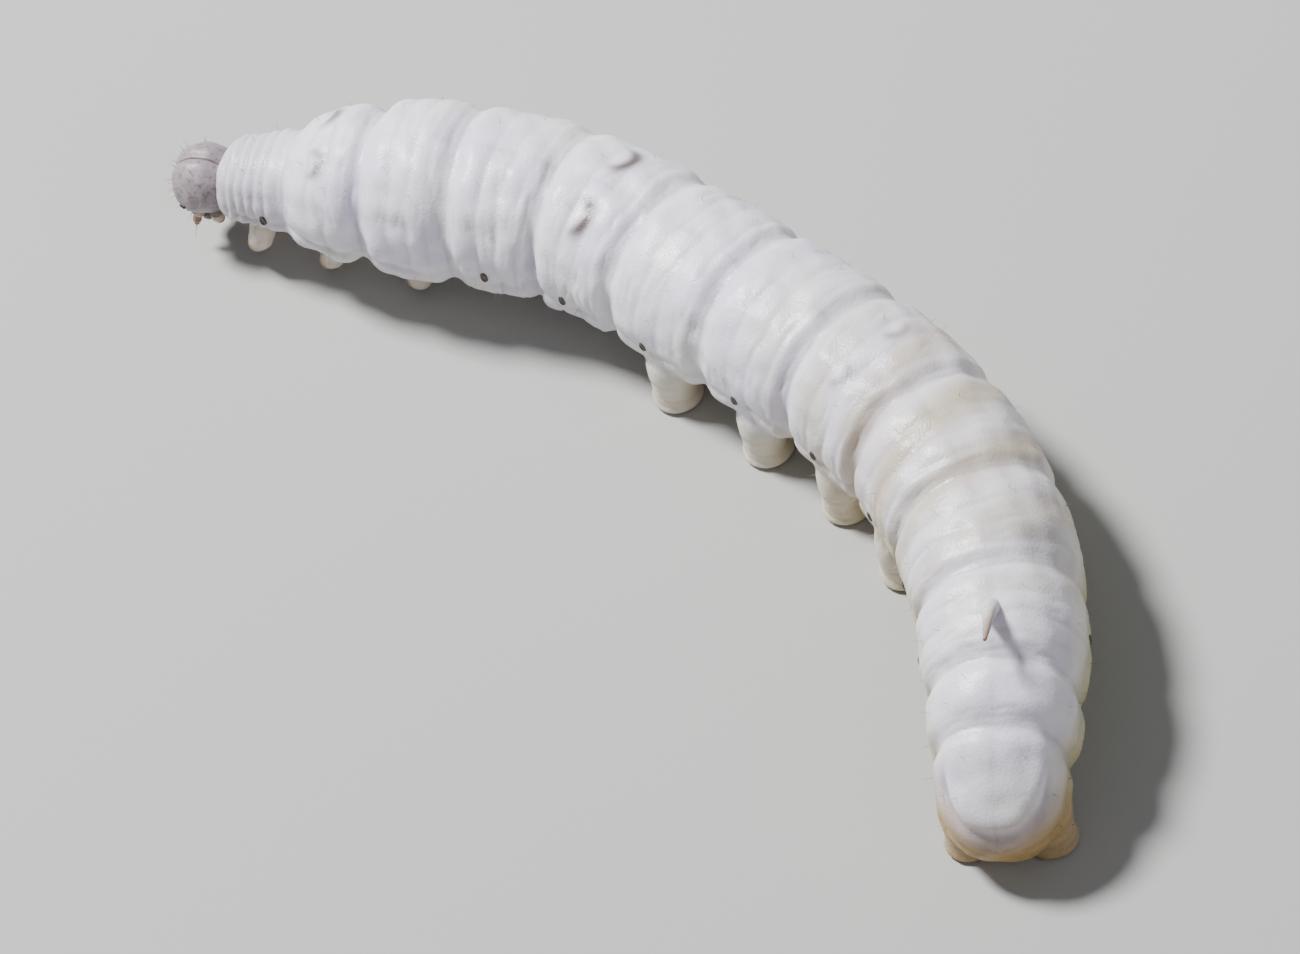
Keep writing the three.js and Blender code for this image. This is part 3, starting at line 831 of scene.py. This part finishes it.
# Painted shade on the neck, greying the first segment.
neck_shade = 1 - smooth(s, start("thorax_1") + 0.6, start("thorax_2") + 1.2)
paint(body_mesh, "fold", painted_fold_shade())
paint(body_mesh, "leg", foot_zone * 0.75)
paint(body_mesh, "flank", flank_tint_shade_and_reflection() * 0.9)
paint(body_mesh, "warm_tone_and_shade", warm_tone_and_shade * 0.95)
paint(body_mesh, "tail", tail_brown_and_shade() * 0.85)
paint(body_mesh, "mark", mark_paint())
paint(body_mesh, "neck_shade", neck_shade * 0.55)
body_mesh.update()
body_mesh.polygons.foreach_set("use_smooth", [True] * len(body_mesh.polygons))
body_mesh.materials.clear()
body_mesh.materials.append(skin_look)
body = added("skin", body_mesh)
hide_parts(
    *ORDER,
    "anal_plate",
    *[f"proleg_{n}_{hand}" for n in (3, 4, 5, 6) for hand in ("left", "right")],
    "clasper_left",
    "clasper_right",
)
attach(body, "root")

# The head, in its own axes: X forward, Y to its left, Z up
HEAD = {"long": 1.75, "wide": 1.85, "tall": 1.85, "tilt": 26, "height": 3.75}
HEAD_AT = beside(HEAD["long"] * 0.95, 0.0, HEAD["height"])
HEAD_TURN = about_z(float(heading(0.0)) + math.pi) @ about_y(math.radians(HEAD["tilt"]))
FACE_TILT = 29
CAPSULE_ROWS = 170
CAPSULE_COLUMNS = 250
DIMPLES = 24
MOUTH_CORNERS = 24


def head_place(points):
    return np.asarray(points, float) @ HEAD_TURN.T + HEAD_AT


def on_capsule(p, grow=0.0):
    """The capsule's surface in each direction, grown outwards by a distance."""
    p = np.asarray(p, float)
    p = p / np.linalg.norm(p, axis=-1, keepdims=True)
    x, y, z = p[..., 0], p[..., 1], p[..., 2]
    furrow = 1 - 0.09 * bell(y / 0.16) * smooth(z, 0.0, 0.6)
    jaw = 1 - 0.26 * smooth(-z, 0, 1)
    face = 1 - 0.1 * smooth(x, 0.55, 1)
    long = x * (HEAD["long"] * furrow * face + grow)
    wide = y * (HEAD["wide"] * jaw * furrow + grow)
    tall = z * (HEAD["tall"] * furrow + grow)
    return np.stack([long, wide, tall], -1)


def head_piece(name, parts, look, node):
    """One piece of the head, moved from the head's own axes to its place."""
    some_points, faces = joined(parts)
    piece = mesh_object(name, head_place(some_points), faces, look)
    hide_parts(node)
    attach(piece, "root")
    return piece.data


def face_map(p):
    """Seam, forehead, lip band and dusky cheeks of the capsule, over unit directions."""
    x, y, z = p.T
    front = smooth(x, 0.2, 0.5)
    across = np.abs(y)
    fork = 0.42 * (0.30 - z) / 0.80  # half width of the forehead triangle at each height
    triangle = (1 - smooth(across, fork - 0.03, fork)) * smooth(z, -0.5, -0.46) * front
    band = (1 - smooth(across, 0.40, 0.46)) * (1 - smooth(z, -0.54, -0.50)) * front
    arms = bell((across - np.maximum(fork, 0)) / 0.024) * smooth(z, -0.52, -0.46)
    arms = arms * (1 - smooth(z, 0.26, 0.33)) * front
    stem = bell(y / 0.022) * np.maximum(smooth(z, 0.24, 0.30), smooth(-x, 0, 0.2) * smooth(z, 0, 0.2))
    sill = bell((z + 0.50) / 0.022) * (1 - smooth(across, 0.40, 0.46)) * front
    cheek = bell((across - 0.47) / 0.03) * (1 - smooth(z, -0.52, -0.46)) * front
    seam = np.maximum.reduce([arms, stem, sill, 0.7 * cheek])
    dusk = np.maximum.reduce(
        [bell(np.linalg.norm(p - (0.55, side * 0.78, -0.24), axis=1) / 0.24) for side in (1, -1)]
    )
    return seam, triangle, band, dusk


def head_capsule():
    """Two cheeks with a seam between them, dimpled where the muscles inside hold on."""
    ways, faces = ball((0, 0, 0), (1, 1, 1), rows=CAPSULE_ROWS, columns=CAPSULE_COLUMNS)
    seam, triangle, band, dusk = face_map(ways)
    plain = on_capsule(ways)
    outwards = plain / np.linalg.norm(plain, axis=1)[:, None]
    dimples = sum(0.012 * np.sin(ways @ way) for way in rng.normal(size=(DIMPLES, 3)) * 7) / 3
    lowered = 0.07 * seam + 0.045 * triangle - 0.04 * band + dimples
    parts = [(plain - outwards * lowered[:, None], faces)]
    mesh = head_piece("head_capsule", parts, head_look, "head")
    paint(mesh, "seam", seam)
    paint(mesh, "pale", np.maximum(0.35 * triangle, 0.85 * band))
    paint(mesh, "dusk", 0.8 * dusk)


def tilted(down, out=0.0):
    """A turn by so many degrees down and then outwards."""
    return about_y(math.radians(down)) @ about_z(math.radians(out))


def bristle(root, way, length, thick, droop=0.15, sides=4, steps=4):
    """A fine tapering bristle from a point, bending down a little."""
    way = np.asarray(way, float) / np.linalg.norm(way)
    side_way = np.cross(way, (0.31, 0.53, 0.79))
    side_way = side_way / np.linalg.norm(side_way)
    t = np.linspace(0, 1, steps + 1)
    line = np.asarray(root) + np.outer(t * length, way) - np.outer(t**2 * length * droop, (0, 0, 1))
    return loft(limb(line, mix(thick, thick * 0.2, t), sides, side_way))


def stepped(t, stops, halves):
    """Half widths that drop from one ring of a palp to the next, with softened steps."""
    sharp = np.select([t < stop for stop in stops], halves[:-1], halves[-1])
    return np.convolve(np.pad(sharp, 2, "edge"), np.ones(5) / 5, "valid")


def upper_lip():
    """A thin plate with a notch in its lower edge, darker towards that edge."""
    lip, faces = ball((0, 0, 0), (0.5, 0.62, 0.34), rows=40, columns=56)
    lip[:, 2] += 0.20 * bell(lip[:, 1] / 0.11) * smooth(-lip[:, 2], 0, 0.2)
    lip[:, 0] -= 0.05 * bell(lip[:, 1] / 0.5)
    shade = 0.9 * smooth(-lip[:, 2], 0.02, 0.3)
    parts = [(lip @ tilted(FACE_TILT).T + (1.25, 0, -1.3), faces)]
    paint(head_piece("upper_lip", parts, palp_look, "labrum"), "plate", shade)


def jaw(side, hand):
    """A dark blade with a row of blunt teeth along its lower edge."""
    turn = tilted(FACE_TILT, -side * 20)
    parts = [ball((0.95, side * 0.5, -1.72), (0.52, 0.42, 0.4), turn, rows=24, columns=32)]
    for k in range(5):
        a = math.radians(-50 + 25 * k)
        root = (0.98 + 0.36 * math.sin(a), side * (0.36 - 0.1 * math.cos(a)), -1.9 + 0.02 * k)
        way = (0.25 * math.sin(a) + 0.2, -side * 0.45, -1.0)
        parts.append(bristle(root, way, 0.26 - 0.02 * abs(k - 2), 0.085, droop=0, sides=8, steps=3))
    head_piece(f"jaw_{hand}", parts, jaw_look, f"mandible_{hand}")


def side_palp(side, hand):
    """Rings, each narrower than the one before, and two pegs at the tip."""
    t = np.linspace(0, 1, 40)
    line = through([(0.2, side * 0.85, -1.5), (0.42, side * 0.78, -2.0), (0.62, side * 0.6, -2.35)], len(t))
    halves = stepped(t, (0.4, 0.68, 0.88), (0.36, 0.27, 0.2, 0.13)) - 0.05 * smooth(t, 0.9, 1)
    parts = [loft(limb(line, halves, MOUTH_CORNERS))]
    for swing in (-0.07, 0.07):
        parts.append(bristle(line[-1] + (0, swing, 0), (0.3, swing, -1), 0.16, 0.035, droop=0, sides=6))
    shade = per_point(0.75 * smooth(t, 0.3, 0.45) * (0.6 + 0.4 * np.cos(t * 22)), MOUTH_CORNERS)
    mesh = head_piece(f"side_palp_{hand}", parts, palp_look, f"maxilla_{hand}")
    paint(mesh, "plate", padded_with(0.8, shade, len(mesh.vertices)))


def feeler(side, hand):
    """A pale wide foot, two darker joints, and a long bristle with two short ones."""
    t = np.linspace(0, 1, 44)
    line = through([(0.9, side * 0.72, -1.0), (1.3, side * 0.98, -1.4), (1.6, side * 1.12, -1.8)], len(t))
    halves = stepped(t, (0.38, 0.78), (0.31, 0.23, 0.14)) - 0.06 * smooth(t, 0.93, 1)
    parts = [loft(limb(line, halves, MOUTH_CORNERS))]
    for reach, lean in ((0.75, 0.2), (0.22, -0.3), (0.18, 0.7)):
        parts.append(bristle(line[-1], (0.6, side * (0.3 + lean), -0.75), reach, 0.022, droop=0.1))
    shade = per_point(0.9 * smooth(t, 0.36, 0.44) * (1 - 0.5 * bell((t - 0.78) / 0.04)), MOUTH_CORNERS)
    mesh = head_piece(f"feeler_{hand}", parts, palp_look, f"antenna_{hand}")
    paint(mesh, "plate", padded_with(0.9, shade, len(mesh.vertices)))


def eyes(side, hand):
    """Six simple eyes: five in an open arc, and one below them."""
    centre = np.array([0.55, side * 0.86, -0.2])
    beads = []
    for i in range(5):
        a = math.radians(-70 + 45 * i)
        beads.append(centre + (0.15 * math.cos(a), -side * 0.1 * math.cos(a), 0.24 * math.sin(a)))
    beads.append(centre + (-0.04, 0, -0.18))
    parts = [ball(on_capsule(bead, -0.02), (0.12, 0.12, 0.12)) for bead in beads]
    head_piece(f"eyes_{hand}", parts, eye_look, f"eye_{hand}")


def lower_lip():
    """A soft pad, a short palp on each side, and the silk tube that points down from it."""
    t = np.linspace(0, 1, 30)
    line = through([(0.25, 0, -1.9), (0.42, 0, -2.25), (0.6, 0, -2.5)], len(t))
    tube = loft(limb(line, 0.30 - 0.16 * t - 0.05 * bell((t - 0.45) / 0.05), MOUTH_CORNERS))
    pad = ball((0.2, 0, -1.9), (0.5, 0.42, 0.42), rows=24, columns=32)
    parts = [pad, tube]
    for side in (1, -1):
        parts.append(bristle((0.42, side * 0.2, -2.2), (0.35, side * 0.12, -1), 0.26, 0.05, droop=0, sides=6))
    mesh = head_piece("lower_lip", parts, palp_look, "labium")
    shade = np.append(np.zeros(len(pad[0])), per_point(0.85 * smooth(t, 0.2, 0.5), MOUTH_CORNERS))
    paint(mesh, "plate", padded_with(0, shade, len(mesh.vertices)))


head_capsule()
upper_lip()
for side, hand in SIDES:
    jaw(side, hand)
    side_palp(side, hand)
    feeler(side, hand)
    eyes(side, hand)
lower_lip()

# The legs under the thorax
TRUE_LEG = (0.8, 0.56, 0.42, 0.26, 0.07)  # half width at each joint
JOINTS = (0, 0.4, 0.62, 0.82, 1)
LEG_STEPS = 64
LEG_CORNERS = 28
LEG_BRISTLES = 16
LEG_BRISTLE_STEPS = (14, 52)  # the steps between which they stand


def true_leg(n, side, hand):
    """A short hooked leg of four pieces, with dark plates and a darker claw."""
    at = middle_of(f"thorax_{n}")
    reach = 1.0 + 0.35 * n
    belly = float(along("belly", at))
    line = through(
        [
            beside(at + 0.2, side * (reach - 0.2), belly + 1.6),
            beside(at - 0.3, side * (reach + 0.5), belly - 0.5),
            beside(at - 0.8, side * (reach + 0.2), belly * 0.45),
            beside(at - 1.2, side * (reach - 0.35), 0.35),
        ],
        LEG_STEPS,
    )
    t = np.linspace(0, 1, LEG_STEPS)
    thick = np.interp(t, JOINTS, TRUE_LEG)
    for joint in JOINTS[1:4]:
        thick = thick - 0.09 * bell((t - joint) / 0.018) + 0.035 * bell((t - joint + 0.05) / 0.035)
    parts = [loft(limb(line, thick, LEG_CORNERS))]
    for _ in range(LEG_BRISTLES):
        i = int(rng.integers(*LEG_BRISTLE_STEPS))
        spread = rng.normal(size=3)
        out_way = spread / np.linalg.norm(spread)
        parts.append(bristle(line[i] + out_way * thick[i] * 0.8, out_way + (0, 0, -0.6), 0.22, 0.014))
    some_points, faces = joined(parts)
    piece = mesh_object(f"thorax_leg_{n}_{hand}", some_points, faces, leg_look)
    plates = 0.75 * smooth(t, 0.36, 0.44) * (1 - sum(bell((t - joint) / 0.02) for joint in JOINTS[1:4]))
    claw = smooth(t, 0.8, 0.93)
    paint(piece.data, "plate", padded_with(0.9, per_point(plates, LEG_CORNERS), len(some_points)))
    paint(piece.data, "tip", padded_with(0.3, per_point(claw, LEG_CORNERS), len(some_points)))
    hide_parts(f"leg_{n}_{hand}")
    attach(piece, "root")


for side, hand in SIDES:
    for n in (1, 2, 3):
        true_leg(n, side, hand)

# The horn on the back of abdomen 8
HORN_LENGTH = 2.9
HORN_SLANT = math.radians(24)
HORN_HALVES = (0.8, 0.1)  # half width at its foot and at its tip
HORN_STEPS = 48
HORN_CORNERS = 28
horn_at = middle_of("abdomen_8", 0.55)
horn_foot = float(skin(horn_at, math.pi / 2)[2])
line = through(
    [
        beside(horn_at - 0.9, 0, horn_foot - 1.3),
        beside(horn_at + 0.3, 0, horn_foot + 0.2),
        beside(
            horn_at + 0.3 + HORN_LENGTH * math.cos(HORN_SLANT),
            0,
            horn_foot + 0.2 + HORN_LENGTH * math.sin(HORN_SLANT),
        ),
    ],
    HORN_STEPS,
)
t = np.linspace(0, 1, HORN_STEPS)
piece = mesh_object("horn", *loft(limb(line, mix(*HORN_HALVES, t**0.8), HORN_CORNERS)), horn_look)
paint(piece.data, "tip", per_point(smooth(t, 0.5, 1.0), HORN_CORNERS))
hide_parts("caudal_horn")
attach(piece, "root")

# The breathing holes
SPIRACLE = (0.17, 0.29)  # half width and half height of one breathing hole
SPIRACLE_CORNERS = 28
# The hole's section from its rim inwards: share of its size, and how far out.
RIM = ((1.2, -0.05), (1.12, 0.03), (0.98, 0.06), (0.84, 0.045), (0.74, 0.02), (0.3, 0.012))


def on_skin(at, height_angle):
    """The finished skin's place and outward direction nearest to a station and angle."""
    wanted = skin(at, height_angle)
    k = np.linalg.norm(points - wanted, axis=1).argmin()
    return points[k], normals[k]


def spiracle(at, height_angle):
    """An oval with a raised rim and a sunken floor, upright on the flank."""
    place, normal = on_skin(at, height_angle)
    way = rearwards(at)
    way -= normal * (way @ normal)
    way /= np.linalg.norm(way)
    rise = np.cross(normal, way)
    turn = np.linspace(0, 2 * np.pi, SPIRACLE_CORNERS, endpoint=False)
    rings = [
        place
        + normal * out_by
        + way * (SPIRACLE[0] * share * np.cos(turn))[:, None]
        + rise * (SPIRACLE[1] * share * np.sin(turn))[:, None]
        for share, out_by in RIM
    ]
    return loft(rings)


piece = mesh_object("spiracles", *joined([spiracle(*hole) for hole in HOLES]), spiracle_look)
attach(piece, "root")

# Rows of tiny hooks along the inner edge of every sole
HOOKS = 22
HOOK_ARC = 150  # degrees of the sole's edge that they take up
HOOK_HALVES = (0.05, 0.014)  # half width at the root and at the tip
HOOK_STEPS = 7
HOOK_CORNERS = 5


def hooks(at, back, side, size):
    """A row of hooks that come out under the sole's rim and point down."""
    centre = beside(at + back, side * size["foot_side"], 0.0)
    row = []
    for k in range(HOOKS):
        a = math.radians(HOOK_ARC * (k / (HOOKS - 1) - 0.5))
        away = rearwards(at) * math.sin(a) - side * leftwards(at) * math.cos(a)
        reach = size["foot"] - 0.26
        root = centre + away * reach + (0, 0, 0.24)
        tip = centre + away * (reach + 0.18) + (0, 0, 0.03)
        line = through([root, root * 0.4 + tip * 0.6 + away * 0.09, tip], HOOK_STEPS)
        halves = np.linspace(*HOOK_HALVES, HOOK_STEPS)
        row.append(loft(limb(line, halves, HOOK_CORNERS, (-away[1], away[0], 0))))
    return row


piece = mesh_object("sole_hooks", *joined([hook for foot in FEET for hook in hooks(*foot)]), hook_look)
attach(piece, "root")

# Fine bristles: a few in set places on every segment, a scatter low down, and some on the head
# Height in degrees and place along the segment of each set bristle.
SET_BRISTLES = ((68, 0.3), (50, 0.62), (24, 0.5), (6, 0.25), (-14, 0.6), (-30, 0.45))
LOW_BRISTLES = 420
HEAD_BRISTLES = 46
hair_rng = np.random.default_rng(11)


def set_bristles():
    for first, length in zip(STARTS, LENGTHS):
        for side in (1, -1):
            for degrees, share in SET_BRISTLES:
                a = math.radians(degrees + hair_rng.uniform(-3, 3))
                place, normal = on_skin(first + share * length, a if side > 0 else math.pi - a)
                yield bristle(place - normal * 0.04, normal, hair_rng.uniform(0.35, 0.6), 0.018)


def low_bristles():
    low_down = np.flatnonzero((height < -0.15) & (points[:, 2] > 0.35) & (np.abs(left) > 1.0))
    for k in hair_rng.choice(low_down, LOW_BRISTLES, replace=False):
        root = points[k] - normals[k] * 0.03
        yield bristle(root, normals[k], hair_rng.uniform(0.12, 0.32), 0.012, sides=3, steps=3)


def head_bristles():
    for _ in range(HEAD_BRISTLES):
        way = np.array([hair_rng.uniform(-0.3, 1), hair_rng.uniform(-1, 1), hair_rng.uniform(-0.75, 0.9)])
        way /= np.linalg.norm(way)
        root = head_place(on_capsule(way)[None])[0]
        yield bristle(root, HEAD_TURN @ way, hair_rng.uniform(0.3, 0.7), 0.016)


parts = [*set_bristles(), *low_bristles(), *head_bristles()]
piece = mesh_object("bristles", *joined(parts), hair_look)
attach(piece, "root")

# Floor and light, in metres
floor_mesh = bpy.data.meshes.new("floor")
floor_mesh.from_pydata([(-3, -3, 0), (3, -3, 0), (3, 3, 0), (-3, 3, 0)], [], [(0, 1, 2, 3)])
floor = added("floor", floor_mesh)
floor_mesh.materials.append(material("plain_floor", (0.43, 0.425, 0.41), 0.9)[0])


def area_light(name, place, size, watts, colour):
    """A round soft light that faces the larva."""
    light = bpy.data.lights.new(name, "AREA")
    light.shape = "DISK"
    light.size = size
    light.energy = watts
    light.color = colour
    lamp = added(name, light)
    lamp.location = place
    track = lamp.constraints.new("TRACK_TO")
    track.target = added(name + "_aim", None)
    track.track_axis = "TRACK_NEGATIVE_Z"
    track.up_axis = "UP_Y"


area_light("sky_light", (-0.20, 0.22, 0.40), 0.12, 6.4, (0.97, 0.985, 1.0))
area_light("front_fill", (0.35, -0.45, 0.30), 0.5, 0.8, (0.93, 0.96, 1.0))
world = bpy.data.worlds.new("studio")
world.use_nodes = True
sky = world.node_tree.nodes["Background"]
sky.inputs["Color"].default_value = (0.9, 0.93, 1.0, 1)
sky.inputs["Strength"].default_value = 0.21
bpy.context.scene.world = world

# The camera. The photograph looks down at this larva at 51 degrees from 1.35 m away, and its left
# edge of view leans the larva over by 16 degrees: the camera is rolled by as much.
ELEVATION = math.radians(51.4)
DISTANCE = 1.351
ROLL = math.radians(-16.0)
FRAME_PIXELS = (1300, 954)
FILL = 0.80  # of the picture's width or height that the larva takes up
SENSOR = 36
target = np.array([0.0, 0.0, 0.0045])
back = np.array([0.0, -math.cos(ELEVATION), math.sin(ELEVATION)])
right = np.array([1.0, 0.0, 0.0])
up = np.cross(back, right)
right, up = (
    right * math.cos(ROLL) + up * math.sin(ROLL),
    up * math.cos(ROLL) - right * math.sin(ROLL),
)
seen = (points * MM) - target
across_m, high_m = seen @ right, seen @ up
target = target + right * (across_m.max() + across_m.min()) / 2 + up * (high_m.max() + high_m.min()) / 2
aspect = FRAME_PIXELS[0] / FRAME_PIXELS[1]
field = max(np.ptp(across_m), np.ptp(high_m) * aspect) / FILL
camera_data = bpy.data.cameras.new("camera")
camera_data.sensor_width = SENSOR
camera_data.lens = SENSOR * DISTANCE / field
camera_data.clip_start = 0.05
camera_data.clip_end = 20
camera = added("camera", camera_data)
axes_and_place = np.stack([right, up, back, target + back * DISTANCE], 1)
camera.matrix_world = Matrix([*axes_and_place.tolist(), [0, 0, 0, 1]])
bpy.context.scene.camera = camera
